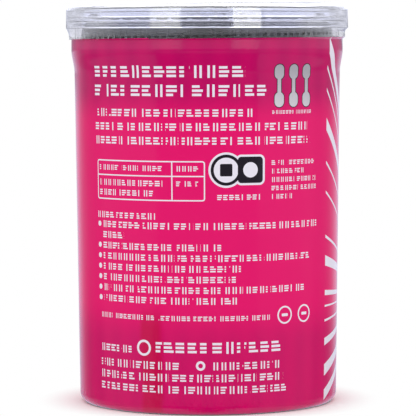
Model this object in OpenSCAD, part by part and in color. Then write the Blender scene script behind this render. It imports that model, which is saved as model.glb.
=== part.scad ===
// Round tub of cotton swabs with a push-on lid, sealed in one printed shrink film.
// The film is perforated just under the lid: the clear band above the tear line
// comes off with the lid, and the printed sleeve below it stays on the tub.
// Origin at the centre of the foot ring's underside, +Z up.

/* [Tub] */
// Free height over the swabs, up to the lid's panel
headroom = 2.1; // [1:0.1:5]
// Outside diameter of the wall just above the base corner
base_d = 55.7; // [54:0.1:57]
// Outside diameter of the wall at the collar and of the neck above it
top_d = 57.5; // [57:0.1:60]
// Thickness of the wall
wall_t = 1.1; // [0.8:0.1:1.4]
// Thickness of the floor
floor_t = 1.4; // [1:0.1:2]
// Radius of the outside corner round the base
corner_r = 2; // [1.8:0.1:3]
// Radius of the inside corner round the floor
floor_round = 1.5; // [1:0.1:2]
// Height of the floor's underside above the foot ring
foot_h = 1.6; // [1:0.1:2]
// Width of the flat foot ring
foot_w = 2; // [1.5:0.1:3]
// How far the collar and the two neck ribs stand out from the wall
rib_rise = 0.6; // [0.5:0.05:0.8]
// Height of the collar that the sleeve grips
collar_h = 2.3; // [1.5:0.1:3]
// Gap between the lid's skirt and the collar below it
collar_drop = 2.5; // [2.2:0.1:3.5]
// Height of the sealing rib at the skirt's mouth
seal_rib_h = 0.8; // [0.5:0.1:1.2]
// Height of the snap rib near the rim
snap_rib_h = 1.2; // [0.7:0.1:1.3]
// Distance of the snap rib's middle below the rim
snap_rib_drop = 1.7; // [1.4:0.1:1.8]
// Rounding of the rim's two edges
rim_round = 0.35; // [0.2:0.05:0.4]

/* [Lid] */
// Height of the lid from the skirt's mouth to the stacking rim
lid_h = 4.6; // [4.4:0.1:6]
// Thickness of the lid's panel
panel_t = 1.1; // [0.8:0.1:1.4]
// Thickness of the skirt
skirt_t = 1; // [0.8:0.1:1.3]
// Running clearance between the tub's ribs and the skirt, on the radius
lid_fit = 0.15; // [0.1:0.01:0.25]
// Depth of the stacking recess in the top
recess_depth = 0.6; // [0.4:0.1:0.9]
// Clearance between the panel's step and the tub's bore, on the radius
step_fit = 0.3; // [0.2:0.05:0.5]
// Draft of the panel's two steps, on the radius
step_draft = 0.1; // [0.05:0.05:0.3]
// Rounding of the lid's top edge
lid_round = 0.8; // [0.6:0.1:1.2]
// How much the skirt widens from its top to its mouth, on the radius
skirt_draft = 0.08; // [0.05:0.01:0.2]
// Depth of the groove inside the skirt that receives the snap rib
groove_depth = 0.2; // [0.1:0.05:0.3]
// Diameter of the gate dimples in the lid and in the floor
gate_d = 3; // [2:0.1:4]
// Depth of the gate dimples
gate_depth = 0.3; // [0.2:0.05:0.5]

/* [Film] */
// Thickness of the shrunk film
film_t = 0.13; // [0.1:0.01:0.2]
// Gap between the film and the plastic under it
film_gap = 0.03; // [0.02:0.01:0.05]
// How far the film laps over the lid's top
lid_lap = 3; // [2:0.1:4]
// Angle that the film follows round the base corner
base_lap_angle = 64; // [45:1:70]
// Distance of the tear line below the lid's skirt
tear_drop = 1.4; // [1.2:0.05:1.9]
// How far the film stands off the collar at the tear line, on the radius
tear_stand = 0.5; // [0.4:0.05:0.7]
// Distance below the collar where the film comes back to the wall
film_bridge = 5; // [2:0.5:8]
// Height of the perforation slots
slot_h = 0.5; // [0.3:0.05:0.5]
// Length of a perforation slot
slot_l = 1; // [0.7:0.05:1.2]
// Distance between the middles of neighbouring slots
slot_pitch = 1.65; // [1.5:0.05:2.5]

/* [Swabs] */
// Length of a swab
swab_l = 79; // [74:0.1:80]
// Diameter of a paper stick
stick_d = 2.2; // [1.8:0.1:2.6]
// Largest diameter of a cotton tip
tip_d = 4.35; // [4.2:0.05:4.5]
// Length of a cotton tip
tip_l = 17; // [13:0.1:20]
// Length of the tip's round nose
nose_l = 2.6; // [2.2:0.1:3.5]
// Length of the tip's straight belly
belly_l = 7.5; // [4:0.1:9]
// Diameter of the flat spot on the nose, where a swab stands on the floor
nose_flat_d = 1; // [0.6:0.1:1.4]
// Thickness of cotton where a tip thins out on its stick
tip_lip = 0.12; // [0.08:0.01:0.3]
// Cotton beyond the stick's end
tip_cap = 1.5; // [1:0.1:2.5]
// Clearance between a tip and its stick, on the radius
stick_fit = 0.02; // [0.01:0.01:0.04]
// Least gap between neighbouring tips of a ring
tip_gap = 0.13; // [0.1:0.01:0.2]
// Gap between the outer ring of tips and the wall
tip_wall_gap = 0.4; // [0.35:0.05:0.8]

/* [Hidden] */
// Steps of an arc in an outline, and facets of a full turn
arc_steps = 6;
turn_facets = 180;
tip_facets = 32;
// What a cutting tool runs past the surface it cuts
past = 1;

clear_tint = [0.93, 0.94, 0.98, 0.35];
pink = [0.87, 0.12, 0.42];
paper_white = [0.96, 0.95, 0.92];
cotton_black = [0.09, 0.09, 0.11];

base_r = base_d / 2;
top_r = top_d / 2;
rib_r = top_r + rib_rise;
neck_in_r = top_r - wall_t;
floor_z = foot_h + floor_t;
tub_h = floor_z + swab_l + headroom + recess_depth;
foot_out_r = base_r - corner_r;
foot_in_r = foot_out_r - foot_w;

lid_top_z = tub_h + panel_t;
skirt_z = lid_top_z - lid_h;
skirt_in_r = rib_r + lid_fit;
skirt_out_r = skirt_in_r + skirt_t;
lid_top_r = skirt_out_r - skirt_draft;
step_r = neck_in_r - step_fit;
recess_r = step_r - panel_t;
snap_z = tub_h - snap_rib_drop;

collar_top_z = skirt_z - collar_drop;
collar_z = collar_top_z - collar_h;
tear_z = skirt_z - tear_drop;
tear_r = rib_r + tear_stand;
slot_z = tear_z - slot_h;

tip_r = tip_d / 2;
neck_r = stick_d / 2 + tip_lip;
taper_l = tip_l - nose_l - belly_l;
tip_pitch = tip_d + tip_gap;
widest_z = floor_z + nose_l;
outer_ring_r = min(wall_r(widest_z), top_r) - wall_t - tip_r - tip_wall_gap;
wall_lean = max(0, atan((top_r - base_r) / (collar_z - corner_r)));
bridge_z = collar_z - film_bridge;

// As many rings of swabs round the centre one as have room
ring_count = floor(outer_ring_r / tip_pitch);
RING_NAMES = concat(["centre"], [for (k = [1:ring_count]) str("ring_", k)]);

// Outside radius of the tub's tapered wall at a height
function wall_r(z) = base_r + (top_r - base_r) * (z - corner_r) / (collar_z - corner_r);

// Points of an arc round a centre [r, z], from one angle to another
function arc(centre, radius, from, to) = [
    for (i = [0:arc_steps])
        let (a = from + (to - from) * i / arc_steps)
        centre + radius * [cos(a), sin(a)]
];

function reversed(points) = [for (i = [len(points) - 1:-1:0]) points[i]];

// Outline of a rib that stands out from radius r, with its edges eased by a third
function rib(r, z, height, rise) = [
    [r, z],
    [r + rise, z + height / 3],
    [r + rise, z + height * 2 / 3],
    [r, z + height]
];

// Outside of the tub from the foot ring up to the rim
function tub_outside() = concat(
    [[foot_in_r, 0]],
    arc([foot_out_r, corner_r], corner_r, -90, 0),
    rib(top_r, collar_z, collar_h, rib_rise),
    rib(top_r, skirt_z, seal_rib_h, rib_rise),
    rib(top_r, snap_z - snap_rib_h / 2, snap_rib_h, rib_rise),
    arc([top_r - rim_round, tub_h - rim_round], rim_round, 0, 90)
);

// Inside of the tub from the rim down to the middle of the floor
function tub_inside() = concat(
    arc([neck_in_r + rim_round, tub_h - rim_round], rim_round, 90, 180),
    [[neck_in_r, collar_z]],
    arc([base_r - wall_t - floor_round, floor_z + floor_round], floor_round, 0, -90),
    [[0, floor_z], [0, foot_h], [foot_in_r - foot_h / 2, foot_h]]
);

module tub() {
    color(clear_tint)
        difference() {
            rotate_extrude($fn = turn_facets)
                polygon(concat(tub_outside(), tub_inside()));
            translate([0, 0, foot_h - past])
                cylinder(h = past + gate_depth, d = gate_d, $fn = turn_facets);
        }
}

// Outside of the lid from the skirt's mouth to the middle of the recessed top
function lid_outside() = concat(
    [[skirt_out_r, skirt_z]],
    arc([lid_top_r - lid_round, lid_top_z - lid_round], lid_round, 0, 90),
    [[recess_r, lid_top_z], [recess_r - step_draft, lid_top_z - recess_depth]],
    [[0, lid_top_z - recess_depth]]
);

// Underside of the lid from its middle to the skirt's mouth, with the rib's groove
function lid_inside() = concat(
    [[0, tub_h - recess_depth], [step_r - step_draft, tub_h - recess_depth]],
    [[step_r, tub_h], [skirt_in_r, tub_h]],
    reversed(rib(skirt_in_r, snap_z - snap_rib_h / 2, snap_rib_h, groove_depth)),
    [[skirt_in_r, skirt_z + lid_fit], [skirt_in_r + lid_fit, skirt_z]]
);

module lid() {
    color(clear_tint)
        difference() {
            rotate_extrude($fn = turn_facets)
                polygon(concat(lid_outside(), lid_inside()));
            translate([0, 0, lid_top_z - recess_depth - gate_depth])
                cylinder(h = gate_depth + past, d = gate_d, $fn = turn_facets);
        }
}

// Line of the clear band at a distance from the lid: over the top edge, down the
// skirt, and in towards the tear line
function band_line(gap) = concat(
    [[skirt_out_r - lid_lap, lid_top_z + gap]],
    reversed(arc([lid_top_r - lid_round, lid_top_z - lid_round], lid_round + gap, 0, 90)),
    [[skirt_out_r + gap, skirt_z]],
    [for (i = [1:arc_steps])
        let (s = i / arc_steps)
        [skirt_out_r + gap - (skirt_out_r - tear_r) * sin(90 * s), skirt_z - tear_drop * s]]
);

module seal_band() {
    color(clear_tint)
        rotate_extrude($fn = turn_facets)
            polygon(concat(band_line(film_gap), reversed(band_line(film_gap + film_t))));
}

// Line of the printed sleeve at a distance from the tub: upright past the slots, in
// to the collar, across to the tapered wall, down it and round the base corner
function sleeve_line(gap) = concat(
    [[tear_r + gap, tear_z], [tear_r + gap, slot_z - slot_h / 3]],
    [[rib_r + gap, collar_top_z - collar_h / 6], [rib_r + gap, collar_z + collar_h / 3]],
    [[wall_r(bridge_z) + gap, bridge_z]],
    arc([foot_out_r, corner_r], corner_r + gap, 0, -base_lap_angle)
);

slot_count = floor(360 * (tear_r + film_t) * PI / 180 / slot_pitch);

module label_sleeve() {
    color(pink)
        difference() {
            rotate_extrude($fn = turn_facets)
                polygon(concat(sleeve_line(film_gap), reversed(sleeve_line(film_gap + film_t))));
            for (i = [0:slot_count - 1])
                rotate([0, 0, 360 * i / slot_count])
                    translate([tear_r - tear_stand, -slot_l / 2, slot_z])
                        cube([2 * tear_stand, slot_l, slot_h + past]);
        }
}

// Rings of swabs, the centre one being ring 0
function ring_r(k) = outer_ring_r * k / ring_count;
function ring_n(k) = k == 0 ? 1 : floor(180 / asin(tip_pitch / (2 * ring_r(k))));
function ring_lean(k) = wall_lean * k / ring_count;

// Puts its child where each swab of a ring stands, leaning out as the wall does
module each_swab(k) {
    for (i = [0:ring_n(k) - 1])
        rotate([0, 0, 360 * (i + k / 2) / ring_n(k)])
            translate([ring_r(k), 0, floor_z + nose_flat_d / 2 * sin(ring_lean(k))])
                rotate([0, ring_lean(k), 0])
                    children();
}

module stick() {
    color(paper_white)
        translate([0, 0, tip_cap])
            cylinder(h = swab_l - 2 * tip_cap, d = stick_d, $fn = tip_facets);
}

// Half outline of a cotton tip: flat spot, round nose, belly and long taper
function tip_outside() = concat(
    [for (i = [0:arc_steps])
        let (a = 90 * i / arc_steps)
        [nose_flat_d / 2 + (tip_r - nose_flat_d / 2) * sin(a), nose_l * (1 - cos(a))]],
    [for (i = [0:arc_steps])
        let (s = i / arc_steps)
        [neck_r + (tip_r - neck_r) * (1 + cos(180 * s)) / 2, nose_l + belly_l + taper_l * s]]
);

module tip() {
    bore_r = stick_d / 2 + stick_fit;
    color(cotton_black)
        rotate_extrude($fn = tip_facets)
            polygon(concat([[0, 0]], tip_outside(), [[bore_r, tip_l], [bore_r, tip_cap], [0, tip_cap]]));
}

module sticks(k) {
    each_swab(k)
        stick();
}

module bottom_tips(k) {
    each_swab(k)
        tip();
}

module top_tips(k) {
    each_swab(k)
        translate([0, 0, swab_l])
            mirror([0, 0, 1])
                tip();
}

tub();
lid();
seal_band();
label_sleeve();
for (k = [0:ring_count]) {
    sticks(k);
    top_tips(k);
    bottom_tips(k);
}
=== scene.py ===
"""Round tub of black cotton swabs in a clear tub, sealed in one printed shrink film.

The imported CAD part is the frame. Each piece is made in metres in that frame, and
replaces or finishes nodes of it. The print is laid out in millimetres on the
unrolled sleeve: s runs round it from the middle of the front, z runs up.
"""

import functools
import math
from types import SimpleNamespace

import bmesh
import bpy
from mathutils import Matrix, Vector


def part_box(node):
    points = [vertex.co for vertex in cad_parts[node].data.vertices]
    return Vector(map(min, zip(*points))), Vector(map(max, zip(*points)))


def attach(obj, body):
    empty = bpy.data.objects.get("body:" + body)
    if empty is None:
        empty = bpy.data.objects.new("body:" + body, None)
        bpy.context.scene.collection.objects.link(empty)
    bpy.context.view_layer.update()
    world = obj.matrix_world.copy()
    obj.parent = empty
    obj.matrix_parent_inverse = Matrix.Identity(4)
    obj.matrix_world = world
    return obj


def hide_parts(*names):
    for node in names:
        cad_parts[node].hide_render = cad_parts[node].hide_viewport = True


bl_info = {
    "name": "Cotton Swab Tub",
    "version": (1, 0, 0),
    "blender": (4, 5, 0),
    "location": "View3D > Sidebar > Swab Tub",
    "description": "Builds the tub, its lid, the shrink film and the swabs, and sets the stage",
    "category": "Object",
}

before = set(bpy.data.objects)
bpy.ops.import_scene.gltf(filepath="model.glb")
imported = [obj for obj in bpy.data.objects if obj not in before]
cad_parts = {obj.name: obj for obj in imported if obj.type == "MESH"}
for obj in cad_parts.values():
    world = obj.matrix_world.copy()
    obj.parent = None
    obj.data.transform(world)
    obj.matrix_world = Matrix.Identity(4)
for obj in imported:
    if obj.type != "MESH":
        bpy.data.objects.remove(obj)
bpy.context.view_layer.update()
MM = 0.001
# Faces that meet at a larger angle than this are shaded with a sharp edge between them
SHARP_ANGLE = math.radians(32)
# Width in pixels of the view that the camera's values were fitted to
VIEW_WIDTH = 416


# Properties

def length(name, description, millimetres):
    return bpy.props.FloatProperty(
        name=name, description=description, default=millimetres * MM, min=0, unit="LENGTH", precision=5)


def degrees(name, description, value):
    return bpy.props.FloatProperty(
        name=name, description=description, default=math.radians(value), subtype="ANGLE")


def colour(name, description, rgb):
    return bpy.props.FloatVectorProperty(
        name=name, description=description, default=rgb, size=3, min=0, max=1, subtype="COLOR")


def linear(red, green, blue):
    """Linear colour of an 8-bit screen colour."""
    return tuple(
        c / 12.92 if c <= 0.04045 else ((c + 0.055) / 1.055) ** 2.4
        for c in (red / 255, green / 255, blue / 255))


class TubSizes(bpy.types.PropertyGroup):
    """Sizes of the clear tub"""
    base_radius: length("Base radius", "Outside of the wall just above the base corner", 27.85)
    top_radius: length("Top radius", "Outside of the wall at the collar and of the neck", 28.75)
    wall: length("Wall", "Thickness of the wall", 1.1)
    floor_top: length("Floor", "Height of the floor that the swabs stand on", 3)
    foot_height: length("Foot height", "Height of the floor's underside", 1.6)
    foot_width: length("Foot width", "Width of the flat foot ring", 2)
    corner: length("Corner", "Radius of the outside corner round the base", 2)
    floor_corner: length("Floor corner", "Radius of the inside corner round the floor", 1.5)
    rib_rise: length("Rib rise", "How far the collar and ribs stand out", 0.6)
    collar_height: length("Collar height", "Height of the collar under the tear line", 2.3)
    collar_drop: length("Collar drop", "Gap between the lid's skirt and the collar", 2.5)
    seal_rib: length("Seal rib", "Height of the rib at the skirt's mouth", 0.8)
    snap_rib: length("Snap rib", "Height of the rib near the rim", 1.2)
    snap_drop: length("Snap rib drop", "Distance of the snap rib's middle below the rim", 1.7)
    rim_round: length("Rim rounding", "Rounding of the rim's two edges", 0.35)
    gate_radius: length("Gate radius", "Radius of the gate dimples", 1.5)
    gate_depth: length("Gate depth", "Depth of the gate dimples", 0.3)


class LidSizes(bpy.types.PropertyGroup):
    """Sizes of the push-on lid"""
    skirt: length("Skirt", "Thickness of the skirt", 1)
    recess: length("Recess", "Depth of the stacking recess", 0.6)
    panel: length("Panel", "Thickness of the panel", 1.1)
    step_fit: length("Step fit", "Clearance between the panel's step and the tub's bore", 0.3)
    step_draft: length("Step draft", "Draft of the panel's two steps", 0.1)
    edge_round: length("Edge rounding", "Rounding of the top edge", 0.8)
    draft: length("Draft", "How much the skirt widens towards its mouth", 0.08)
    groove: length("Groove", "Depth of the groove for the snap rib", 0.2)


class FilmSizes(bpy.types.PropertyGroup):
    """Sizes of the shrink film"""
    thickness: length("Thickness", "Thickness of the film", 0.13)
    gap: length("Gap", "Gap between the film and what it wraps", 0.03)
    lid_lap: length("Lid lap", "How far the film laps over the lid", 3)
    lap_lift: length("Lap lift", "How far the lap's free edge stands up where it curls most", 0.75)
    base_lap: degrees("Base lap", "Angle that the film follows round the base corner", 64)
    tear_drop: length("Tear drop", "Distance of the tear line below the skirt", 1.4)
    tear_stand: length("Tear stand-off", "How far the film stands off the collar there", 0.5)
    tear_skew: length("Tear skew", "How far the tear line rises from the left to the front", 0.48)
    collar_lean: length("Collar lean", "How much the film narrows up the collar", 0.02)
    bridge: length("Bridge", "Distance below the collar where the film comes back to the wall", 5)
    slot_height: length("Slot height", "Height of the perforation slots", 0.5)
    slot_length: length("Slot length", "Length of a perforation slot", 1)
    slot_pitch: length("Slot pitch", "Distance between neighbouring slots", 1.65)
    ink_drop: length("Ink drop", "Distance of the print's edge below the slots", 0.3)
    ripple: length("Ripple", "How far the film waves in and out", 0.03)
    lap_wander: length("Lap wander", "How far the lap's free edge strays in and out", 0.4)


class SwabSizes(bpy.types.PropertyGroup):
    """Sizes of the swabs"""
    length: length("Length", "Length of a swab", 79)
    stick_radius: length("Stick radius", "Radius of a paper stick", 1.1)
    tip_radius: length("Tip radius", "Largest radius of a cotton tip", 2.175)
    tip_length: length("Tip length", "Length of a cotton tip", 17)
    nose: length("Nose", "Length of the round nose", 2.6)
    belly: length("Belly", "Length of the straight belly", 7.5)
    nose_flat: length("Nose flat", "Radius of the flat spot a swab stands on", 0.5)
    lip: length("Lip", "Thickness of cotton where the tip ends on the stick", 0.12)
    gap: length("Gap", "Least gap between neighbouring tips of a ring", 0.13)
    wall_gap: length("Wall gap", "Gap between the outer ring and the wall", 0.4)
    fibre: length("Fibre", "Length of a loose cotton fibre", 0.5)
    fibres: bpy.props.IntProperty(
        name="Fibres", description="How thickly loose fibres cover the tips", default=4200, min=0)
    unevenness: length("Unevenness", "How far the cotton swells and sinks", 0.35)


class Finishes(bpy.types.PropertyGroup):
    """Colours of the tub's materials"""
    clear: colour("Clear plastic", "Faint tint of the moulded plastic", (0.945, 0.952, 1.0))
    film: colour("Clear film", "Faint tint of the bare film", (0.955, 0.96, 1.0))
    ink: colour("Ink", "Pink of the print", linear(231, 9, 107))
    # Painted shade: the print darker where the dark cotton tips show through the film
    ink_cotton_shade: colour("Deep ink", "Pink of the print where dark cotton lies behind it", linear(187, 5, 95))
    ink_wet: colour("Clinging ink", "Red of the print where the film clings to the wall", linear(196, 4, 70))
    print_white: colour("Print white", "White of the print", linear(236, 232, 245))
    print_black: colour("Print black", "Black of the print", linear(30, 24, 34))
    silver: colour("Silver", "Grey of the three swab signs", linear(168, 165, 174))
    paper: colour("Paper", "White of the rolled sticks", linear(240, 238, 230))
    cotton: colour("Cotton", "Black of the cotton tips", linear(14, 13, 19))


class StageSizes(bpy.types.PropertyGroup):
    """The view and the floor"""
    distance: length("Distance", "Distance of the camera from the tub's axis", 600)
    eye_height: length("Eye height", "Height of the camera", 80)
    focal: bpy.props.FloatProperty(
        name="Focal length", description="Focal length in pixels of a 416 pixel wide view", default=2750)
    pitch: degrees("Pitch", "How far the camera looks down", 3.631)
    roll: degrees("Roll", "How far the camera leans", 0.191)
    centre: bpy.props.FloatProperty(
        name="Centre", description="Pixel column of the tub's axis", default=207.6)
    floor: length("Floor", "Half width of the floor", 3000)


# Shader and geometry trees

def wired(operation):
    """A method that adds a Math node of this operation."""
    def method(self, *others):
        return self.graph.math(operation, self, *others)
    return method


class Wire:
    """One output socket. Arithmetic on wires adds Math nodes to their tree."""

    def __init__(self, graph, socket):
        self.graph = graph
        self.socket = socket

    __add__ = __radd__ = wired("ADD")
    __sub__ = wired("SUBTRACT")
    __mul__ = __rmul__ = wired("MULTIPLY")
    __truediv__ = wired("DIVIDE")
    __abs__ = wired("ABSOLUTE")
    __gt__ = wired("GREATER_THAN")
    __lt__ = wired("LESS_THAN")
    __or__ = wired("MAXIMUM")
    __and__ = wired("MINIMUM")
    floor = wired("FLOOR")
    root = wired("SQRT")

    def __rsub__(self, other):
        return self.graph.math("SUBTRACT", other, self)

    def ramp(self, start, end):
        """0 up to start, 1 from end on, and eased between them."""
        return self.graph.node(
            "ShaderNodeMapRange", {"interpolation_type": "SMOOTHSTEP"},
            {0: self, 1: start, 2: end, 3: 0.0, 4: 1.0})

    def band(self, low, high, soft=0.05):
        """1 from low to high, with soft edges."""
        return self.ramp(low - soft, low + soft) * (1 - self.ramp(high - soft, high + soft))


class Graph:
    """Adds nodes to one tree and hands back their outputs as wires."""

    def __init__(self, tree):
        self.tree = tree

    def node(self, kind, settings=None, inputs=None, output=0):
        made = self.tree.nodes.new(kind)
        for name, value in (settings or {}).items():
            if name == "stops":
                set_stops(made.color_ramp, value)
            else:
                setattr(made, name, value)
        for key, value in (inputs or {}).items():
            if isinstance(value, Wire):
                self.tree.links.new(value.socket, made.inputs[key])
            else:
                made.inputs[key].default_value = value
        return Wire(self, made.outputs[output]) if made.outputs else None

    def more(self, wire, output):
        """Another output of the node that a wire comes from."""
        return Wire(self, wire.socket.node.outputs[output])

    def math(self, operation, *operands):
        return self.node("ShaderNodeMath", {"operation": operation}, dict(enumerate(operands)))

    def vector(self, operation, *operands):
        return self.node("ShaderNodeVectorMath", {"operation": operation}, dict(enumerate(operands)))

    def scaled(self, vector, factor):
        return self.node("ShaderNodeVectorMath", {"operation": "SCALE"}, {0: vector, "Scale": factor})

    def mix(self, factor, first, second):
        """Colour that goes from first to second."""
        return self.node(
            "ShaderNodeMix", {"data_type": "RGBA"},
            {0: factor, 6: rgba(first), 7: rgba(second)}, output=2)

    def split(self, vector):
        wire = self.node("ShaderNodeSeparateXYZ", inputs={0: vector})
        return wire, self.more(wire, 1), self.more(wire, 2)

    def join(self, x, y, z):
        return self.node("ShaderNodeCombineXYZ", inputs={0: x, 1: y, 2: z})

    def noise(self, vector, scale, detail=2.0, roughness=0.5):
        return self.node("ShaderNodeTexNoise", inputs={
            "Vector": vector, "Scale": scale, "Detail": detail, "Roughness": roughness})

    def shape(self, wire):
        """The geometry of the object on a wire."""
        return self.node("GeometryNodeObjectInfo", inputs={0: wire}, output="Geometry")

    def random(self, low, high, seed):
        return self.node(
            "FunctionNodeRandomValue", {"data_type": "FLOAT"}, {2: low, 3: high, "Seed": seed}, output=1)


def set_stops(ramp, stops):
    """Gives a colour ramp its stops, each a place and a colour, held until the next."""
    ramp.interpolation = "CONSTANT"
    for place, stop_colour in stops[1:]:
        ramp.elements.new(place).color = stop_colour
    ramp.elements[0].position = stops[0][0]
    ramp.elements[0].color = stops[0][1]


def rgba(value):
    return value if isinstance(value, Wire) else (*value, 1.0)


def union(wires):
    """The greatest of several wires."""
    return functools.reduce(Wire.__or__, wires)


def hypotenuse(a, b):
    return (a * a + b * b).root()


def blank_tree(holder):
    """The empty node tree of a material or a world."""
    holder.use_nodes = True
    holder.node_tree.nodes.clear()
    return Graph(holder.node_tree)


def finish_material(name, build, *values):
    """A new material whose surface comes from build(graph, *values)."""
    material = bpy.data.materials.new(name)
    graph = blank_tree(material)
    surface = build(graph, *values)
    graph.node("ShaderNodeOutputMaterial", inputs={"Surface": surface})
    return material


def bump(graph, height, distance, strength=1.0):
    return graph.node(
        "ShaderNodeBump", inputs={"Height": height, "Distance": distance, "Strength": strength})


def object_place(graph):
    return graph.node("ShaderNodeTexCoord", output="Object")


def stretched_noise(graph, upright, scale, detail, roughness=0.5):
    """Noise over the piece, drawn out along its height as upright falls below 1."""
    place = graph.vector("MULTIPLY", object_place(graph), (1.0, 1.0, upright))
    return graph.noise(place, scale, detail, roughness)


def turn_and_height(graph):
    """Turn round the axis from the middle of the front, and height in millimetres."""
    x, y, z = (axis * 1000 for axis in graph.split(object_place(graph)))
    return graph.math("ARCTAN2", x, 0 - y), z


# Outlines and turned solids

def arc(centre, radius, start, end, steps=12):
    """Points of an arc round a centre (r, z), between two angles in degrees."""
    angles = (math.radians(start + (end - start) * i / steps) for i in range(steps + 1))
    return [(centre[0] + radius * math.cos(a), centre[1] + radius * math.sin(a)) for a in angles]


def rib(radius, low, height, rise, steps=14):
    """Outline of a moulded rib with soft shoulders."""
    return [
        (radius + rise * (1 - abs(2 * i / steps - 1) ** 5), low + height * i / steps)
        for i in range(steps + 1)]


def line(start, end, steps):
    return [
        (start[0] + (end[0] - start[0]) * i / steps, start[1] + (end[1] - start[1]) * i / steps)
        for i in range(steps + 1)]


def around(radius, turn, height):
    """Point at a radius and a turn round the axis."""
    return radius * math.cos(turn), radius * math.sin(turn), height


def without_repeats(points):
    kept = []
    for point in points:
        if not kept or math.dist(point, kept[-1]) > 1e-7:
            kept.append(point)
    if math.dist(kept[0], kept[-1]) < 1e-7:
        kept.pop()
    return kept


def turned(name, outline, segments=256):
    """Solid turned from a closed outline of (r, z) points."""
    outline = without_repeats(outline)
    vertices, rows = [], []
    for radius, height in outline:
        if radius < 1e-7:
            rows.append([len(vertices)] * segments)
            vertices.append((0, 0, height))
            continue
        rows.append(range(len(vertices), len(vertices) + segments))
        vertices += [around(radius, math.tau * i / segments, height) for i in range(segments)]
    faces = []
    for low, high in zip(rows, rows[1:] + rows[:1]):
        for i in range(segments):
            j = (i + 1) % segments
            corners = list(dict.fromkeys((low[i], low[j], high[j], high[i])))
            if len(corners) > 2:
                faces.append(corners)
    mesh = bpy.data.meshes.new(name)
    mesh.from_pydata(vertices, [], faces)
    return smooth(mesh)


def smooth(mesh):
    """Turns the faces outwards and shades them smooth up to the sharp angle."""
    shell = bmesh.new()
    shell.from_mesh(mesh)
    bmesh.ops.recalc_face_normals(shell, faces=shell.faces)
    shell.to_mesh(mesh)
    shell.free()
    mesh.polygons.foreach_set("use_smooth", [True] * len(mesh.polygons))
    mesh.set_sharp_from_angle(angle=SHARP_ANGLE)
    mesh.update()
    return mesh


def add_object(name, mesh):
    piece = bpy.data.objects.new(name, mesh)
    bpy.context.scene.collection.objects.link(piece)
    return piece


def fitted(piece, body, slot, *nodes):
    """Puts a finished piece on its body in place of CAD nodes."""
    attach(piece, body)
    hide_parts(*nodes)


def levels(scene):
    """Heights and radii that the tub, the lid and the film share."""
    tub, lid, film = scene.swab_tub, scene.swab_lid, scene.swab_film
    lid_low, lid_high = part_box("lid")
    tub_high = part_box("tub")[1]
    at = SimpleNamespace(lid_top=lid_high.z, skirt_low=lid_low.z, skirt_out=lid_high.x, rim=tub_high.z)
    at.rib = tub.top_radius + tub.rib_rise
    at.snap = at.rim - tub.snap_drop
    at.collar_top = at.skirt_low - tub.collar_drop
    at.collar = at.collar_top - tub.collar_height
    at.taper = (tub.top_radius - tub.base_radius) / (at.collar - tub.corner)
    at.tear = at.skirt_low - film.tear_drop
    at.slot = at.tear - film.slot_height
    at.tear_radius = at.rib + film.tear_stand
    at.skirt_in = at.skirt_out - lid.skirt
    at.lid_radius = at.skirt_out - lid.draft
    return at


def tub_outline(scene):
    """Closed outline of the tub, from the foot up the outside and down the inside."""
    tub, at = scene.swab_tub, levels(scene)
    foot_out = tub.base_radius - tub.corner
    foot_in = foot_out - tub.foot_width
    bore = tub.top_radius - tub.wall
    inner_corner = (tub.base_radius - tub.wall - tub.floor_corner, tub.floor_top + tub.floor_corner)
    return [
        (foot_in, 0),
        *arc((foot_out, tub.corner), tub.corner, -90, 0),
        *rib(tub.top_radius, at.collar, tub.collar_height, tub.rib_rise),
        *rib(tub.top_radius, at.skirt_low, tub.seal_rib, tub.rib_rise),
        *rib(tub.top_radius, at.snap - tub.snap_rib / 2, tub.snap_rib, tub.rib_rise),
        *arc((tub.top_radius - tub.rim_round, at.rim - tub.rim_round), tub.rim_round, 0, 90),
        *arc((bore + tub.rim_round, at.rim - tub.rim_round), tub.rim_round, 90, 180),
        (bore, at.collar),
        *arc(inner_corner, tub.floor_corner, 0, -90),
        (0, tub.floor_top),
        (0, tub.foot_height + tub.gate_depth),
        (tub.gate_radius, tub.foot_height + tub.gate_depth),
        (tub.gate_radius, tub.foot_height),
        (foot_in - tub.foot_height / 2, tub.foot_height),
    ]


def lid_outline(scene):
    """Closed outline of the lid, over the top and back along the underside."""
    tub, lid, at = scene.swab_tub, scene.swab_lid, levels(scene)
    step = tub.top_radius - tub.wall - lid.step_fit
    top = at.lid_top - lid.recess
    ease = at.skirt_in - at.rib
    groove = rib(at.skirt_in, at.snap - tub.snap_rib / 2, tub.snap_rib, lid.groove)
    return [
        (at.skirt_out, at.skirt_low),
        *arc((at.lid_radius - lid.edge_round, at.lid_top - lid.edge_round), lid.edge_round, 0, 90),
        (step - lid.panel, at.lid_top),
        (step - lid.panel - lid.step_draft, top),
        (tub.gate_radius, top),
        (tub.gate_radius, top - tub.gate_depth),
        (0, top - tub.gate_depth),
        (0, at.rim - lid.recess),
        (step - lid.step_draft, at.rim - lid.recess),
        (step, at.rim),
        (at.skirt_in, at.rim),
        *reversed(groove),
        (at.skirt_in, at.skirt_low + ease),
        (at.skirt_in + ease, at.skirt_low),
    ]


def band_line(scene, gap):
    """Line of the clear band at a distance from the lid, down to the tear line."""
    lid, film, at = scene.swab_lid, scene.swab_film, levels(scene)
    corner = (at.lid_radius - lid.edge_round, at.lid_top - lid.edge_round)
    lap = line((at.skirt_out - film.lid_lap, at.lid_top + gap), (corner[0], at.lid_top + gap), 12)
    drop = [
        (at.skirt_out + gap - (at.skirt_out - at.tear_radius) * math.sin(math.pi / 2 * i / 10),
         at.skirt_low - film.tear_drop * i / 10)
        for i in range(1, 11)]
    skirt = line((at.lid_radius + gap, corner[1]), (at.skirt_out + gap, at.skirt_low), 8)
    return [*lap, *reversed(arc(corner, lid.edge_round + gap, 0, 90)), *skirt[1:], *drop]


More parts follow.
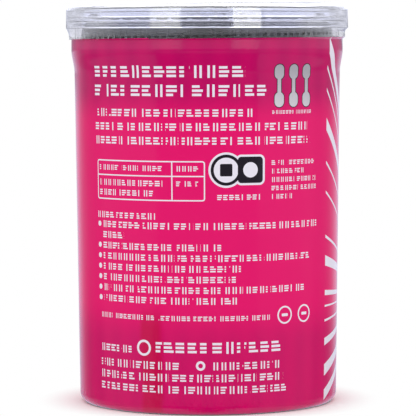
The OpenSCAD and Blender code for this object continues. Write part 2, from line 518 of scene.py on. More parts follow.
def sleeve_line(scene, gap):
    """Line of the printed sleeve at a distance from the tub, from the tear line down."""
    tub, film, at = scene.swab_tub, scene.swab_film, levels(scene)
    foot_out = tub.base_radius - tub.corner
    under = -math.degrees(film.base_lap)
    grip = at.collar + tub.collar_height * 0.1
    landing = at.collar - film.bridge
    landing_radius = tub.base_radius + at.taper * (landing - tub.corner)
    bridge = [
        (at.rib + (landing_radius - at.rib) * (1 - math.cos(math.pi * i / 12)) / 2 + gap,
         grip + (landing - grip) * i / 12)
        for i in range(13)]
    return [
        (at.tear_radius + gap, at.tear),
        (at.tear_radius + gap, at.slot),
        (at.tear_radius + gap, at.slot - film.ink_drop),
        *line((at.rib - film.collar_lean + gap, at.collar_top), (at.rib + gap, grip), 7),
        *bridge[1:],
        *line((landing_radius + gap, landing), (tub.base_radius + gap, tub.corner + gap), 30)[1:],
        *arc((foot_out, tub.corner), tub.corner + gap, 0, under, 10),
    ]


# Swabs

def stands(scene):
    """Where each swab stands: ring radius, turn round the axis and lean."""
    tub, swab, at = scene.swab_tub, scene.swab_swabs, levels(scene)
    widest = tub.base_radius + at.taper * (tub.floor_top + swab.nose - tub.corner)
    outer = widest - tub.wall - swab.tip_radius - swab.wall_gap
    pitch = 2 * swab.tip_radius + swab.gap
    rings = math.floor(outer / pitch)
    lean = math.atan(at.taper)
    found = [(0.0, 0.0, 0.0)]
    for k in range(1, rings + 1):
        radius = outer * k / rings
        count = math.floor(math.pi / math.asin(pitch / (2 * radius)))
        found += [(radius, math.tau * (i + k / 2) / count, lean * k / rings) for i in range(count)]
    return found


def tip_outline(swab, steps=7):
    """Half outline of a cotton tip, from its nose to where it ends on the stick."""
    nose = [
        (swab.nose_flat + (swab.tip_radius - swab.nose_flat) * math.sin(math.pi / 2 * i / steps),
         swab.nose * (1 - math.cos(math.pi / 2 * i / steps)))
        for i in range(steps + 1)]
    neck = swab.stick_radius + swab.lip
    start = swab.nose + swab.belly
    run = swab.tip_length - start
    taper = [
        (neck + (swab.tip_radius - neck) * (1 + math.cos(math.pi * i / steps)) / 2, start + run * i / steps)
        for i in range(steps + 1)]
    end = swab.tip_length
    return [(0, 0), *nose, *line((swab.tip_radius, swab.nose), (swab.tip_radius, start), 3)[1:-1], *taper,
            (swab.stick_radius * 0.9, end), (0, end)]


def modifier_input(modifier, name, value):
    """Sets an input of a geometry nodes modifier by its identifier."""
    for item in modifier.node_group.interface.items_tree:
        if item.item_type == "SOCKET" and item.in_out == "INPUT" and item.name == name:
            modifier[item.identifier] = value
            return
    raise KeyError(name)


def geometry_group(name, sockets):
    """The graph and the input wires of a new geometry tree with named inputs."""
    tree = bpy.data.node_groups.new(name, "GeometryNodeTree")
    tree.interface.new_socket("Geometry", in_out="INPUT", socket_type="NodeSocketGeometry")
    for label, kind in sockets:
        tree.interface.new_socket(label, in_out="INPUT", socket_type=kind)
    tree.interface.new_socket("Geometry", in_out="OUTPUT", socket_type="NodeSocketGeometry")
    graph = Graph(tree)
    start = tree.nodes.new("NodeGroupInput")
    wires = {socket.name: Wire(graph, socket) for socket in start.outputs if socket.name}
    return graph, wires


def run_geometry(name, base, graph, result, values):
    """Runs a finished tree on a base mesh and returns the plain mesh that it makes."""
    graph.node("NodeGroupOutput", inputs={0: result})
    maker = add_object(name + "_maker", base)
    modifier = maker.modifiers.new(name, "NODES")
    modifier.node_group = graph.tree
    for label, value in values.items():
        modifier_input(modifier, label, value)
    maker.update_tag()
    depsgraph = bpy.context.evaluated_depsgraph_get()
    mesh = bpy.data.meshes.new_from_object(maker.evaluated_get(depsgraph))
    mesh.name = name
    maker.modifiers.remove(modifier)
    bpy.data.objects.remove(maker)
    return mesh


def fibre_mesh():
    """One loose fibre: a thin bent spike of unit length along +Z."""
    vertices, faces = [], []
    for height, shift, radius in ((0, 0, 0.045), (0.55, 0.12, 0.036)):
        for i in range(3):
            x, y, z = around(radius, math.tau * i / 3, height)
            vertices.append((shift + x, y, z))
    vertices.append((0.38, 0, 1))
    for i in range(3):
        j = (i + 1) % 3
        faces += [(i, j, 3 + j, 3 + i), (3 + i, 3 + j, 6)]
    faces.append((2, 1, 0))
    mesh = bpy.data.meshes.new("fibre")
    mesh.from_pydata(vertices, [], faces)
    return mesh


def stand_points(scene):
    """A mesh of one point a swab, with its turn and lean as attributes."""
    tub, swab = scene.swab_tub, scene.swab_swabs
    places = stands(scene)
    mesh = bpy.data.meshes.new("stands")
    feet = [around(r, turn, tub.floor_top + swab.nose_flat * math.sin(lean)) for r, turn, lean in places]
    mesh.from_pydata(feet, [], [])
    for label, index in (("turn", 1), ("lean", 2)):
        attribute = mesh.attributes.new(label, "FLOAT", "POINT")
        attribute.data.foreach_set("value", [place[index] for place in places])
    return mesh


def cotton_mesh(scene, name, tip, material, seed):
    """Tips on every swab, with uneven cotton and loose fibres, as one plain mesh."""
    swab = scene.swab_swabs
    graph, wires = geometry_group("Cotton tips", [
        ("Tip", "NodeSocketObject"), ("Fibre", "NodeSocketObject"), ("Fibre length", "NodeSocketFloat"),
        ("Fibres", "NodeSocketInt"), ("Unevenness", "NodeSocketFloat"), ("Material", "NodeSocketMaterial"),
        ("Seed", "NodeSocketInt")])
    named = {
        label: graph.node("GeometryNodeInputNamedAttribute", {"data_type": "FLOAT"}, {"Name": label})
        for label in ("turn", "lean")}
    tips = graph.node("GeometryNodeInstanceOnPoints", inputs={
        "Points": wires["Geometry"],
        "Instance": graph.shape(wires["Tip"]),
        "Rotation": graph.join(0.0, named["lean"], named["turn"])})
    spin = graph.random(0.0, math.tau, wires["Seed"])
    tips = graph.node("GeometryNodeRotateInstances", inputs={
        "Instances": tips, "Rotation": graph.join(0.0, 0.0, spin)})
    tips = graph.node("GeometryNodeRealizeInstances", inputs={0: tips})
    place = graph.node("GeometryNodeInputPosition")
    lumps = graph.noise(place, 420.0, 3.0) - 0.5
    normal = graph.node("GeometryNodeInputNormal")
    swollen = graph.node("GeometryNodeSetPosition", inputs={
        "Geometry": tips, "Offset": graph.scaled(normal, (lumps + 0.25) * wires["Unevenness"])})
    # Loose fibres stand thickest on the noses under the lid
    under_lid = graph.split(place)[2].ramp(swab.length - swab.nose / 2, swab.length)
    area = graph.node("GeometryNodeDistributePointsOnFaces", {"distribute_method": "RANDOM"}, {
        "Mesh": swollen, "Density": wires["Fibres"] * (35.0 + under_lid * 250.0), "Seed": wires["Seed"]})
    upright = graph.more(area, "Rotation")
    hairs = graph.node("GeometryNodeInstanceOnPoints", inputs={
        "Points": area,
        "Instance": graph.shape(wires["Fibre"]),
        "Rotation": upright,
        "Scale": graph.random(wires["Fibre length"] * 0.4, wires["Fibre length"], wires["Seed"] + 3)})
    tilt = graph.node(
        "FunctionNodeRandomValue", {"data_type": "FLOAT_VECTOR"},
        {0: (-1.1, -1.1, -3.1), 1: (1.1, 1.1, 3.1), "Seed": wires["Seed"] + 7})
    hairs = graph.node("GeometryNodeRotateInstances", inputs={"Instances": hairs, "Rotation": tilt})
    both = graph.tree.nodes.new("GeometryNodeJoinGeometry")
    for part in (hairs, swollen):
        graph.tree.links.new(part.socket, both.inputs[0])
    whole = graph.node("GeometryNodeRealizeInstances", inputs={0: Wire(graph, both.outputs[0])})
    whole = graph.node("GeometryNodeSetShadeSmooth", inputs={0: whole})
    whole = graph.node("GeometryNodeSetMaterial", inputs={"Geometry": whole, "Material": wires["Material"]})
    return run_geometry(name, stand_points(scene), graph, whole, {
        "Tip": tip, "Fibre": bpy.data.objects["fibre_shape"], "Fibre length": swab.fibre,
        "Fibres": swab.fibres, "Unevenness": swab.unevenness, "Material": material, "Seed": seed})


# Film

def pitch_strip(scene):
    """One pitch of the perforated sleeve: a tie, a slot and the film below them."""
    film = scene.swab_film
    at = levels(scene)
    outer = sleeve_line(scene, film.gap + film.thickness)
    inner = sleeve_line(scene, film.gap)
    count = slot_count(scene)
    step = math.tau / count
    half_slot = film.slot_length / (2 * (at.tear_radius + film.thickness))
    turns = [-half_slot, -half_slot / 3, half_slot / 3, half_slot, step / 2, step - half_slot]
    columns = len(turns) - 1
    rows = len(outer) - 1
    vertices = [around(r, turn, z) for side in (outer, inner) for r, z in side for turn in turns]

    def corner(side, row, column):
        return (side * len(outer) + row) * len(turns) + column

    def there(row, column):
        return 0 <= row < rows and not (row == 0 and column % columns < 3)

    faces = []
    for row in range(rows):
        for column in range(columns):
            if not there(row, column):
                continue
            a, b = (
                [corner(side, row, column), corner(side, row, column + 1),
                 corner(side, row + 1, column + 1), corner(side, row + 1, column)]
                for side in (0, 1))
            faces += [a[::-1], b]
            for down, across, i in ((-1, 0, 0), (1, 0, 2), (0, 1, 1), (0, -1, 3)):
                if not there(row + down, column + across):
                    j = (i + 1) % 4
                    faces.append([a[i], a[j], b[j], b[i]])
    mesh = bpy.data.meshes.new("pitch_strip")
    mesh.from_pydata(vertices, [], faces)
    return mesh


def slot_count(scene):
    film = scene.swab_film
    girth = math.tau * (levels(scene).tear_radius + film.thickness)
    return math.floor(girth / film.slot_pitch)


def sleeve_mesh(scene, clear, printed):
    """The whole sleeve from its strips, waved in and out a little, printed below the ink line."""
    film = scene.swab_film
    at = levels(scene)
    graph, wires = geometry_group("Perforated sleeve", [
        ("Slots", "NodeSocketInt"), ("Strip", "NodeSocketObject"), ("Ink line", "NodeSocketFloat"),
        ("Ripple", "NodeSocketFloat"), ("Skew", "NodeSocketFloat"), ("Clear film", "NodeSocketMaterial"),
        ("Print", "NodeSocketMaterial")])
    points = graph.node("GeometryNodeMeshLine", inputs={
        "Count": wires["Slots"], "Start Location": (0, 0, 0), "Offset": (0, 0, 0)})
    turn = graph.node("GeometryNodeInputIndex") * math.tau / wires["Slots"]
    ring = graph.node("GeometryNodeInstanceOnPoints", inputs={
        "Points": points,
        "Instance": graph.shape(wires["Strip"]),
        "Rotation": graph.join(0.0, 0.0, turn)})
    whole = graph.node("GeometryNodeRealizeInstances", inputs={0: ring})
    whole = graph.node("GeometryNodeMergeByDistance", inputs={"Geometry": whole, "Distance": 2e-6})
    place = graph.node("GeometryNodeInputPosition")
    z = graph.split(place)[2]
    outwards = graph.vector("NORMALIZE", graph.vector("MULTIPLY", place, (1.0, 1.0, 0.0)))
    low = graph.vector("MULTIPLY", place, (1.0, 1.0, 0.45))
    wave = graph.noise(low, 95.0, 2.0) - 0.5
    free = z.ramp(4 * MM, 12 * MM) * (1 - z.ramp(at.collar - 6 * MM, at.collar))
    ripple = graph.scaled(outwards, (wave + 0.35) * free * wires["Ripple"])
    near_tear = (((z - at.slot) / film.slot_height + 1) & 1.0) | 0.0
    rise = graph.split(outwards)[0] * near_tear * wires["Skew"]
    whole = graph.node("GeometryNodeSetPosition", inputs={
        "Geometry": whole, "Offset": graph.vector("ADD", ripple, graph.join(0.0, 0.0, rise))})
    whole = graph.node("GeometryNodeSetShadeSmooth", inputs={0: whole})
    whole = graph.node("GeometryNodeSetMaterial", inputs={"Geometry": whole, "Material": wires["Clear film"]})
    whole = graph.node("GeometryNodeSetMaterial", inputs={
        "Geometry": whole, "Selection": z < wires["Ink line"], "Material": wires["Print"]})
    return run_geometry("label_sleeve_film", bpy.data.meshes.new("start"), graph, whole, {
        "Slots": slot_count(scene), "Strip": bpy.data.objects["strip_shape"],
        "Ink line": at.slot - film.ink_drop * 0.95, "Ripple": film.ripple, "Skew": film.tear_skew,
        "Clear film": clear, "Print": printed})


# Materials

def clear_plastic(graph, tint):
    """Moulded clear plastic with faint flow marks."""
    flow = stretched_noise(graph, 0.25, 260.0, 3.0)
    return graph.node("ShaderNodeBsdfPrincipled", inputs={
        "Base Color": (*tint, 1), "Roughness": 0.02, "IOR": 1.49, "Transmission Weight": 1.0,
        "Normal": bump(graph, flow, 0.00001, 0.4)})


def clear_film(graph, tint):
    """Bare shrink film, drawn into fine upright pleats."""
    turn, z = turn_and_height(graph)
    pleats = graph.noise(graph.join(turn * 14.0, z * 0.12, 0.0), 2.4, 3.0)
    waves = graph.noise(object_place(graph), 180.0, 2.0)
    return graph.node("ShaderNodeBsdfPrincipled", inputs={
        "Base Color": (*tint, 1), "Roughness": 0.02, "IOR": 1.5, "Transmission Weight": 0.975,
        "Normal": bump(graph, pleats * 0.3 + waves * 0.7, 0.00005, 0.2)})


def word_marks(graph, s, z, lines, seed, word=5.6, gap=0.7):
    """Fine plain dashes and ticks in place of lines of small print.

    lines holds the height of the first line's middle, the line pitch, the height of a
    line, and for each line where it starts and ends.
    """
    first, pitch, height, spans = lines
    row = ((first + pitch / 2 - z) / pitch).floor()
    inside = (row > -0.5) * (row < len(spans) - 0.5)
    table = graph.node(
        "ShaderNodeValToRGB",
        {"stops": [(i / len(spans), ((a + 30) / 60, (b + 30) / 60, 0, 1)) for i, (a, b) in enumerate(spans)]},
        {0: (row + 0.5) / len(spans)})
    ends = graph.node("ShaderNodeSeparateColor", inputs={0: table})
    along = s - (ends * 60 - 30)
    left_over = graph.more(ends, 1) * 60 - 30 - s
    nearest = (along / word + 0.5).floor()
    jitter = chance(graph, nearest + seed, row)
    cut = abs(along - (nearest + (jitter - 0.5) * 0.7) * word) > gap / 2
    cell = along / (height * MARK_PITCH)
    number = cell.floor()
    across = cell - number
    up = (z - first + row * pitch) / height + 0.5
    strip = up * 3
    layer = strip.floor()
    dash_length = 0.5 + 0.36 * chance(graph, number + seed, row * 3 + layer)
    dashes = (abs(strip - layer - 0.5) < 0.3) * (across < dash_length)
    ticks = (abs(across - 0.22) < 0.09) | (abs(across - 0.62) < 0.09)
    upright = chance(graph, number - seed, row + 0.5) > 0.6
    block = dashes + (ticks - dashes) * upright
    return block * cut * (up > 0) * (up < 1) * (along > 0) * (left_over > 0) * inside


def chance(graph, x, y):
    """A random number from 0 to 1 for each pair of whole numbers."""
    return graph.node("ShaderNodeTexWhiteNoise", {"noise_dimensions": "1D"}, {"W": x + y * 61.7})


def tile(s, z, left, right, low, high, radius):
    """Signed depth inside a rounded rectangle, in millimetres."""
    dx = abs(s - (left + right) / 2) - ((right - left) / 2 - radius)
    dz = abs(z - (low + high) / 2) - ((high - low) / 2 - radius)
    return radius - hypotenuse(dx | 0.0, dz | 0.0)


def disc(s, z, centre_s, centre_z, radius):
    """Signed depth inside a disc, in millimetres."""
    return radius - hypotenuse(s - centre_s, z - centre_z)


def swab_sign(s, z, middle, low, high):
    """Signed depth inside a plain upright swab, in millimetres."""
    stick = tile(s, z, middle - 0.45, middle + 0.45, low + 1, high - 1, 0.2)
    tips = tile(s, z, middle - 1.15, middle + 1.15, low, low + 3.1, 1.1)
    return stick | tips | tile(s, z, middle - 1.15, middle + 1.15, high - 3.1, high, 1.1)


# Lines of the print: first line's middle, line pitch, height of a mark, ends of each line
HEADLINES = (72.1, 3.95, 2.6, [(-27.6, 7.9), (-27.7, 13.2)])
OPENING = (63.5, 2.92, 1.7, [(-27.5, 9.8), (-27.6, 23.4), (-27.6, 24.4)])
SIDE_NOTE = (53.0, 1.78, 1.05, [(13.9, 26.4), (13.9, 22.8), (13.9, 26.4), (13.9, 26.6), (13.9, 19.5)])
HEADING = (41.85, 2.0, 1.35, [(-27.3, -11.3)])
NOTES = (39.85, 2.24, 1.45, [
    (-25.4, 26.9), (-25.4, -19.1), (-25.4, 2.8), (-25.4, 24.4),
    (-25.4, 8.1), (-25.4, 5.9), (-25.4, 22.8), (-25.4, 6.6)])
FINE_LINE = (20.5, 2.0, 1.1, [(-26.4, 14.1)])
TABLE_HEAD = (51.9, 2.0, 1.15, [(-26.3, -9.4)])
TABLE_ROWS = (48.75, 2.1, 1.3, [(-26.3, -9.6), (-26.3, -10.8)])
TABLE_SIDE = (51.9, 3.15, 1.15, [(-6.6, -1.5), (-6.6, -1.8)])
FOOT_NOTE = (13.6, 2.0, 1.6, [(-26.6, -17.4)])
FOOT_TITLE = (14.35, 3.0, 2.5, [(-12.2, 16.7)])
FOOT_LINES = (10.45, 2.5, 1.65, [(-26.7, -6.0), (-26.8, 17.0), (-26.8, 17.8)])
FOOT_SIDE = (10.5, 2.5, 1.65, [(0.9, 16.7)])
# Captions under the signs and the badge, each with its seed
CAPTIONS = [(91, (63.55, 2.0, 0.8, [(14.0, 25.0)])), (47, (45.9, 2.0, 1.2, [(2.0, 11.3)]))]
# Height up to which the film's lower edge, under the base, is painted black as the shade there
PAINTED_SHADE_EDGE = 0.18
# Lower and upper ends of the swab signs, and the light end of their silver
SIGN_LOW, SIGN_HIGH = 64.6, 73.5
SILVER_LIGHT = linear(212, 210, 217)
# Plain rings: where the middle is, outer radius and width of the line
RING_SIGNS = [
    (17.4, 20.8, 1.9, 0.35), (22.9, 20.8, 1.9, 0.35), (-14.25, 14.1, 1.7, 0.5), (-1.6, 10.6, 1.0, 0.5)]
# Rays of the burst round its centre: angle up from the left and half width, in degrees
RAYS = [
    (62.7, 1.2), (54.2, 0.9), (51.8, 0.22), (49.0, 0.22), (44.0, 1.0), (37.3, 0.3), (31.1, 0.3), (20.1, 0.4),
    (13.3, 1.5), (3.6, 0.8), (-0.5, 0.3), (-5.0, 0.35), (-11.4, 1.1), (-19.5, 1.6), (-26.0, 1.3)]
BURST_S, BURST_Z = 71.0, 22.0
BURST_EDGE = 40.0
BURST_DISC, RAYS_START = 10.5, 13.0
SLEEVE_RADIUS = 28.5
# Width of one group of dashes or ticks and its gap, as a share of the line's height
MARK_PITCH = 1.05


def white_print(graph, s, z):
    """1 where the sleeve is printed white: lines, outlines, bullets and the burst's rays."""
    marks = word_marks(graph, s, z, HEADLINES, 3, word=11.5, gap=1.1)
    for seed, lines in enumerate((OPENING, SIDE_NOTE, HEADING, NOTES, FINE_LINE, TABLE_HEAD, TABLE_ROWS,
                                  TABLE_SIDE, FOOT_NOTE, FOOT_LINES, FOOT_SIDE)):
        marks = marks | word_marks(graph, s, z, lines, seed * 17)
    marks = marks | word_marks(graph, s, z, FOOT_TITLE, 5, word=9.5, gap=0.9)
    row = ((NOTES[0] + NOTES[1] / 2 - z) / NOTES[1]).floor()
    dotted = (row > -0.5) * (row < 7.5) * (1 - (abs(row - 1) < 0.5))
    bullet_z = z - (NOTES[0] - row * NOTES[1])
    bullets = (disc(s, bullet_z, -26.6, 0.0, 0.55) > 0) * dotted
    frame_in = tile(s, z, -27.1, -0.5, 45.1, 53.5, 0.6)
    rules = (abs(z - 50.3) < 0.13) | (abs(s + 7.5) < 0.13)
    outline = (frame_in > 0) * ((frame_in < 0.27) | rules)
    rings = []
    for centre_s, centre_z, radius, width in RING_SIGNS:
        depth = disc(s, z, centre_s, centre_z, radius)
        rings.append((depth > 0) * (depth < width))
    bars = [tile(s, z, middle - 0.8, middle + 0.8, 20.5, 21.1, 0.2) > 0 for middle in (17.4, 22.9)]
    return marks | bullets | outline | union(rings + bars) | burst(graph, s, z)


def burst(graph, s, z):
    """White rays that widen away from a plain disc, cut off at both sides."""
    onwards = s + (s < -60) * math.tau * SLEEVE_RADIUS
    across = abs(onwards - BURST_S)
    up = z - BURST_Z
    angle = graph.math("ARCTAN2", up, across) * (180 / math.pi)
    rays = union(abs(angle - middle) < half for middle, half in RAYS)
    distance = hypotenuse(across, up)
    return rays * (distance > RAYS_START) * (across < BURST_EDGE) | (distance < BURST_DISC)


def ink_colour(graph, turn, s, z, finishes):
    """Pink of the ink: deeper before the tips, as painted shade of the dark cotton seen through the film, and
    redder where the film clings to the wall.
    """
    wander = graph.noise(object_place(graph), 60.0, 2.0) - 0.5
    edge = z + wander * 1.5
    # Painted shade of the dark top and bottom tips seen through the film, strongest facing the outer ring's
    # tips
    cotton_shade = edge.ramp(61.0, 69.0) | (1 - edge.ramp(14.5, 23.5)) * 0.62
    tips = graph.math("COSINE", turn * 33.0) * 0.5 + 0.5
    clinging = (s + wander * 2).band(-14.8, -10.2, 0.8) * (1 - z.ramp(18.0, 24.0)) * 0.8
    ink = graph.mix(cotton_shade * (0.82 + tips * 0.18), finishes.ink, finishes.ink_cotton_shade)
    return graph.mix(clinging, ink, finishes.ink_wet)


def swab_signs(graph, s, z, under, finishes):
    """Three silver swab signs with a dark edge, over the colour under them."""
    depth = union(swab_sign(s, z, middle, SIGN_LOW, SIGN_HIGH) for middle in (15.7, 19.4, 23.1))
    shine = ((z - SIGN_LOW) / (SIGN_HIGH - SIGN_LOW) + (s - 13.9) * 0.02) & 1.0
    silver = graph.mix(shine, SILVER_LIGHT, finishes.silver)
    edged = graph.mix(depth > -0.18, under, finishes.print_black)
    return graph.mix(depth > 0, edged, silver)


def badge(graph, s, z, under, finishes):
    """A white disc with a ring and a square beside a black tile with a disc."""
    white, black = finishes.print_white, finishes.print_black
    left = disc(s, z, 3.9, 51.6, 3.7)
    right = tile(s, z, 5.9, 12.3, 48.4, 54.8, 1.2)
    shade = graph.mix((left | right) > 0, under, white)
    shade = graph.mix(((left > 0.45) * (left < 1.1)) | (right > 0.45), shade, black)
    shade = graph.mix(disc(s, z, 9.1, 51.6, 1.6) > 0, shade, white)
    return graph.mix(tile(s, z, 2.6, 5.2, 50.3, 52.9, 0.3) > 0, shade, black)


def printed_film(graph, finishes):
    """Film printed on its inner face: pink field, plain marks in place of words, gloss over all."""
    turn, z = turn_and_height(graph)
    s = turn * SLEEVE_RADIUS
    ink = ink_colour(graph, turn, s, z, finishes)
    shade = graph.mix(white_print(graph, s, z), ink, finishes.print_white)
    # Painted shade: the film's lowest edge, in the shade under the base, painted black
    shade = graph.mix(z < PAINTED_SHADE_EDGE, shade, finishes.print_black)
    shade = badge(graph, s, z, swab_signs(graph, s, z, shade, finishes), finishes)
    for seed, caption in CAPTIONS:
        shade = graph.mix(word_marks(graph, s, z, caption, seed), shade, finishes.print_white)
    pleats = graph.noise(graph.join(turn * 26.0, z * 0.35, 0.0), 1.6, 2.0)
    waves = stretched_noise(graph, 0.5, 150.0, 2.0) * 0.35
    height = waves * (1 - z.ramp(73.0, 76.0)) + pleats * (1 - z.ramp(1.5, 6.0))
    return graph.node("ShaderNodeBsdfPrincipled", inputs={
        "Base Color": shade, "Roughness": 0.11, "IOR": 1.5, "Normal": bump(graph, height, 0.0002, 0.5)})


def paper(graph, tint):
    """Rolled white paper with a fine upright grain."""
    grain = stretched_noise(graph, 0.3, 2600.0, 3.0)
    shade = graph.mix(grain.ramp(0.3, 0.8), tint, tuple(c * 0.86 for c in tint))
    return graph.node("ShaderNodeBsdfPrincipled", inputs={
        "Base Color": shade, "Roughness": 0.85, "Normal": bump(graph, grain, 0.00003, 0.6)})


def cotton(graph, tint):
    """Wound black cotton wool, matt and fibrous."""
    strands = stretched_noise(graph, 0.35, 3200.0, 4.0, 0.7)
    dark, light = (tuple(c * share for c in tint) for share in (0.6, 1.8))
    shade = graph.mix(strands.ramp(0.35, 0.75), dark, light)
    return graph.node("ShaderNodeBsdfPrincipled", inputs={
        "Base Color": shade, "Roughness": 0.95, "Specular IOR Level": 0.06,
        "Sheen Weight": 0.02, "Sheen Roughness": 0.5, "Sheen Tint": (0.8, 0.8, 0.9, 1),
        "Normal": bump(graph, strands, 0.00008, 0.8)})


# Operators

class SWABTUB_OT_tub(bpy.types.Operator):
    """Turn the clear tub with its foot, collar and neck ribs"""
    bl_idname = "swabtub.tub"
    bl_label = "Clear Tub"

    def execute(self, context):
        scene = context.scene
        tint = scene.swab_finishes.clear
        piece = add_object("clear_tub", turned("clear_tub", tub_outline(scene)))
        piece.data.materials.append(finish_material("clear plastic tub", clear_plastic, tint))
        fitted(piece, "tub", "clear_plastic", "tub")
        return {"FINISHED"}


class SWABTUB_OT_lid(bpy.types.Operator):
    """Turn the push-on lid with its stacking recess and snap groove"""
    bl_idname = "swabtub.lid"
    bl_label = "Clear Lid"

    def execute(self, context):
        scene = context.scene
        tint = scene.swab_finishes.clear
        piece = add_object("clear_lid", turned("clear_lid", lid_outline(scene)))
        piece.data.materials.append(finish_material("clear plastic lid", clear_plastic, tint))
        fitted(piece, "lid", "clear_plastic", "lid")
        return {"FINISHED"}


class SWABTUB_OT_seal_band(bpy.types.Operator):
    """Wrap the clear band of film over the lid, down to the tear line"""
    bl_idname = "swabtub.seal_band"
    bl_label = "Seal Band"

    def execute(self, context):
        scene = context.scene
        film = scene.swab_film
        outline = [*band_line(scene, film.gap), *reversed(band_line(scene, film.gap + film.thickness))]
        mesh = turned("seal_band_film", outline, 288)
        self.curl(scene, mesh)
        piece = add_object("seal_band_film", mesh)
        tint = scene.swab_finishes.film
        piece.data.materials.append(finish_material("clear shrink film", clear_film, tint))
        fitted(piece, "lid", "clear_film", "seal_band")
        return {"FINISHED"}

    def curl(self, scene, mesh):
        """Skews the tear line, waves the lap on the lid and lifts its free edge, most at the back right."""
        film, at = scene.swab_film, levels(scene)
        lap_out = at.lid_radius - scene.swab_lid.edge_round
        lap_in = at.skirt_out - film.lid_lap
        for vertex in mesh.vertices:
            x, y, z = vertex.co
            radius = math.hypot(x, y)
            if z < at.skirt_low:
                vertex.co.z += film.tear_skew * x / radius * (at.skirt_low - z) / film.tear_drop
            if z < at.lid_top or radius > lap_out:
                continue
            reach = (lap_out - radius) / (lap_out - lap_in)
            turn = math.atan2(x, -y)
            lifted = 0.5 + 0.5 * math.cos(turn - math.radians(75))
            ripple = 0.5 + sum(
                height * math.sin(count * turn + start)
                for height, count, start in ((0.25, 5, 1), (0.15, 11, 0), (0.1, 23, 2)))
            vertex.co.z += film.lap_lift * reach ** 2 * (lifted ** 2 * 0.75 + ripple * 0.25)
            stray = reach * film.lap_wander * math.sin(7 * turn + 2)
            vertex.co.x += stray * x / radius
            vertex.co.y += stray * y / radius


class SWABTUB_OT_label_sleeve(bpy.types.Operator):
    """Wrap the printed sleeve round the tub, with its perforated top edge"""
    bl_idname = "swabtub.label_sleeve"
    bl_label = "Label Sleeve"

    def execute(self, context):
        scene = context.scene
        finishes = scene.swab_finishes
        strip = add_object("strip_shape", pitch_strip(scene))
        bare = finish_material("clear sleeve film", clear_film, finishes.film)
        printed = finish_material("printed sleeve film", printed_film, finishes)
        mesh = sleeve_mesh(scene, bare, printed)
        bpy.data.objects.remove(strip)
        mesh.set_sharp_from_angle(angle=SHARP_ANGLE)
        piece = add_object("label_sleeve_film", mesh)
        fitted(piece, "tub", "printed_film", "label_sleeve")
        return {"FINISHED"}


class SWABTUB_OT_cotton_tips(bpy.types.Operator):
    """Wind the black cotton tips on both ends of every swab"""
    bl_idname = "swabtub.cotton_tips"
    bl_label = "Cotton Tips"

    def execute(self, context):
        scene = context.scene
        swab = scene.swab_swabs
        material = finish_material("black cotton", cotton, scene.swab_finishes.cotton)
        fibre = add_object("fibre_shape", fibre_mesh())
        outline = tip_outline(swab)
        ends = {
            "bottom": turned("bottom_tip", outline, 26),
            "top": turned("top_tip", [(r, swab.length - z) for r, z in outline], 26),
        }
        for seed, (end, mesh) in enumerate(ends.items()):
            tip = add_object(end + "_tip_shape", mesh)
            piece = add_object(end + "_cotton", cotton_mesh(scene, end + "_cotton", tip, material, 11 + seed))
            bpy.data.objects.remove(tip)
            nodes = [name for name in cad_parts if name.startswith(end + "_tips_")]
            fitted(piece, "tub", "black_cotton", *nodes)
        bpy.data.objects.remove(fibre)
        return {"FINISHED"}


class SWABTUB_OT_sticks(bpy.types.Operator):
    """Finish the paper sticks of the CAD part"""
    bl_idname = "swabtub.sticks"
    bl_label = "Paper Sticks"

    def execute(self, context):
        material = finish_material("rolled paper", paper, context.scene.swab_finishes.paper)
        for name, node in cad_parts.items():
            if name.startswith("sticks_"):
                for slot in node.material_slots:
                    slot.material = material
        return {"FINISHED"}


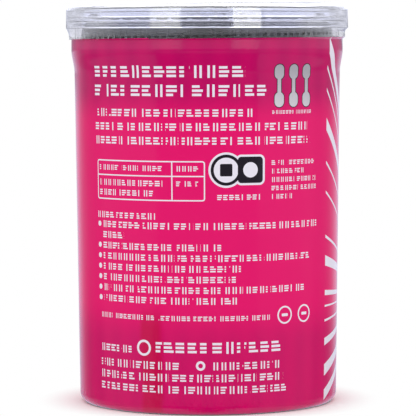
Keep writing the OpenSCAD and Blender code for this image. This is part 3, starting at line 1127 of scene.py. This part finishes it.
class SWABTUB_OT_stage(bpy.types.Operator):
    """Set the floor, the studio light and the camera"""
    bl_idname = "swabtub.stage"
    bl_label = "Stage"

    def execute(self, context):
        self.floor(context.scene)
        self.light(context.scene)
        self.camera(context.scene)
        context.scene.view_settings.view_transform = "Standard"
        context.scene.cycles.max_bounces = 32
        context.scene.cycles.transmission_bounces = 28
        return {"FINISHED"}

    def floor(self, scene):
        half = scene.swab_stage.floor
        mesh = bpy.data.meshes.new("floor")
        corners = [(-half, -half, 0), (half, -half, 0), (half, half, 0), (-half, half, 0)]
        mesh.from_pydata(corners, [], [(0, 1, 2, 3)])
        floor = add_object("floor", mesh)
        floor.visible_glossy = False

        def surface(graph):
            x, y, _ = graph.split(object_place(graph))
            distance = hypotenuse(x, y)
            path = graph.node("ShaderNodeLightPath", output="Is Camera Ray")
            through = graph.more(path, "Is Transmission Ray")
            plain = graph.node("ShaderNodeBsdfDiffuse", inputs={"Color": (0.97, 0.97, 0.97, 1)})
            white = graph.node("ShaderNodeEmission", inputs={"Color": (1, 1, 1, 1), "Strength": 1.0})
            shown = distance.ramp(26 * MM, 38 * MM) * (path | through)
            return graph.node("ShaderNodeMixShader", inputs={0: shown, 1: plain, 2: white})

        mesh.materials.append(finish_material("pale floor", surface))

    def light(self, scene):
        world = bpy.data.worlds.new("studio")
        scene.world = world
        graph = blank_tree(world)
        x, y, z = graph.split(graph.node("ShaderNodeTexCoord", output="Generated"))
        turn = graph.math("ARCTAN2", x, 0 - y) * (180 / math.pi)
        rise = graph.math("ARCSINE", z) * (180 / math.pi)
        aside = abs(turn)
        above = rise.ramp(1.4, 1.9)
        # Two soft boxes beside the camera, and a soft light overhead
        boxes = turn.band(-47.0, -21.0, 2.0) | turn.band(21.0, 44.5, 1.0)
        overhead = rise.ramp(35.0, 50.0)
        camera_ray = graph.node("ShaderNodeLightPath", output="Is Camera Ray")
        glossy = graph.more(camera_ray, "Is Glossy Ray")
        seen_through = graph.more(camera_ray, "Is Transmission Ray")
        high = 0.75 + aside.ramp(44.0, 50.0) * 0.9 + boxes * 2.0 + (turn > 0) * boxes * 0.8
        high = high + overhead * glossy * 1.5
        low = self.low_light(turn, rise)
        open_sky = (aside.ramp(70.0, 95.0) | rise.ramp(25.0, 45.0)) * seen_through
        shaped = low + (high - low) * above | open_sky
        is_shaped = (glossy | seen_through) * (1 - camera_ray)
        strength = 1.0 + (shaped - 1.0) * is_shaped
        white = (boxes | overhead) * above | open_sky
        tint = graph.mix(is_shaped * (1 - white), (1.0, 1.0, 1.0), (0.76, 0.79, 1.0))
        background = graph.node("ShaderNodeBackground", inputs={"Color": tint, "Strength": strength})
        graph.node("ShaderNodeOutputWorld", inputs={"Surface": background})

    def low_light(self, turn, rise):
        """Light that the print reflects from below, and the neck and collar at eye level."""
        aside = abs(turn)
        outer = aside.ramp(18.0, 24.0)
        middle = rise.band(-9.5, -3.2, 0.7) * 0.24
        sides = 0.43 - rise.band(-10.5, -6.0, 1.0) * 0.12
        sides = sides - aside.band(105.0, 150.0, 10.0) * rise.ramp(-12.0, -9.5) * 0.17
        sides = sides + aside.ramp(125.0, 160.0) * 0.5
        low = middle + (sides - middle) * aside.ramp(43.0, 46.0)
        low = low * (1 - turn.band(-50.0, -39.0, 2.0) * rise.band(-10.5, -7.2, 0.5) * 0.9)
        low = low | outer * (1 - rise.ramp(-40.0, -25.0)) * 0.8
        neck = 0.02 + outer * 0.38
        collar = 0.7 + outer * 0.15
        edge_on = neck + (collar - neck) * rise.ramp(0.3, 0.6)
        return low + (edge_on - low) * rise.ramp(-1.5, -0.7)

    def camera(self, scene):
        stage = scene.swab_stage
        data = bpy.data.cameras.new("camera")
        data.sensor_width = 36
        data.lens = stage.focal * data.sensor_width / VIEW_WIDTH
        data.clip_end = 20
        camera = add_object("camera", data)
        heading = math.atan((stage.centre - VIEW_WIDTH / 2) / stage.focal)
        turn = (Matrix.Rotation(heading, 4, "Z") @ Matrix.Rotation(math.pi / 2 - stage.pitch, 4, "X")
                @ Matrix.Rotation(-stage.roll, 4, "Z"))
        camera.matrix_world = Matrix.Translation((0, -stage.distance, stage.eye_height)) @ turn
        scene.camera = camera


class SWABTUB_PT_panel(bpy.types.Panel):
    """The tub's operators and sizes"""
    bl_label = "Cotton Swab Tub"
    bl_idname = "SWABTUB_PT_panel"
    bl_space_type = "VIEW_3D"
    bl_region_type = "UI"
    bl_category = "Swab Tub"

    def draw(self, context):
        for operator in OPERATORS:
            self.layout.operator(operator.bl_idname)
        for name in GROUPS:
            group = getattr(context.scene, name)
            box = self.layout.box()
            for field in group.__annotations__:
                box.prop(group, field)


GROUPS = {
    "swab_tub": TubSizes,
    "swab_lid": LidSizes,
    "swab_film": FilmSizes,
    "swab_swabs": SwabSizes,
    "swab_finishes": Finishes,
    "swab_stage": StageSizes,
}
OPERATORS = (
    SWABTUB_OT_stage,
    SWABTUB_OT_tub,
    SWABTUB_OT_lid,
    SWABTUB_OT_seal_band,
    SWABTUB_OT_label_sleeve,
    SWABTUB_OT_cotton_tips,
    SWABTUB_OT_sticks,
)


def register():
    for group in GROUPS.values():
        bpy.utils.register_class(group)
    for name, group in GROUPS.items():
        setattr(bpy.types.Scene, name, bpy.props.PointerProperty(type=group))
    for kind in (*OPERATORS, SWABTUB_PT_panel):
        bpy.utils.register_class(kind)


def unregister():
    for kind in (SWABTUB_PT_panel, *OPERATORS[::-1]):
        bpy.utils.unregister_class(kind)
    for name, group in GROUPS.items():
        delattr(bpy.types.Scene, name)
        bpy.utils.unregister_class(group)


def main():
    register()
    for operator in OPERATORS:
        category, name = operator.bl_idname.split(".")
        getattr(getattr(bpy.ops, category), name)()


if __name__ == "__main__":
    main()
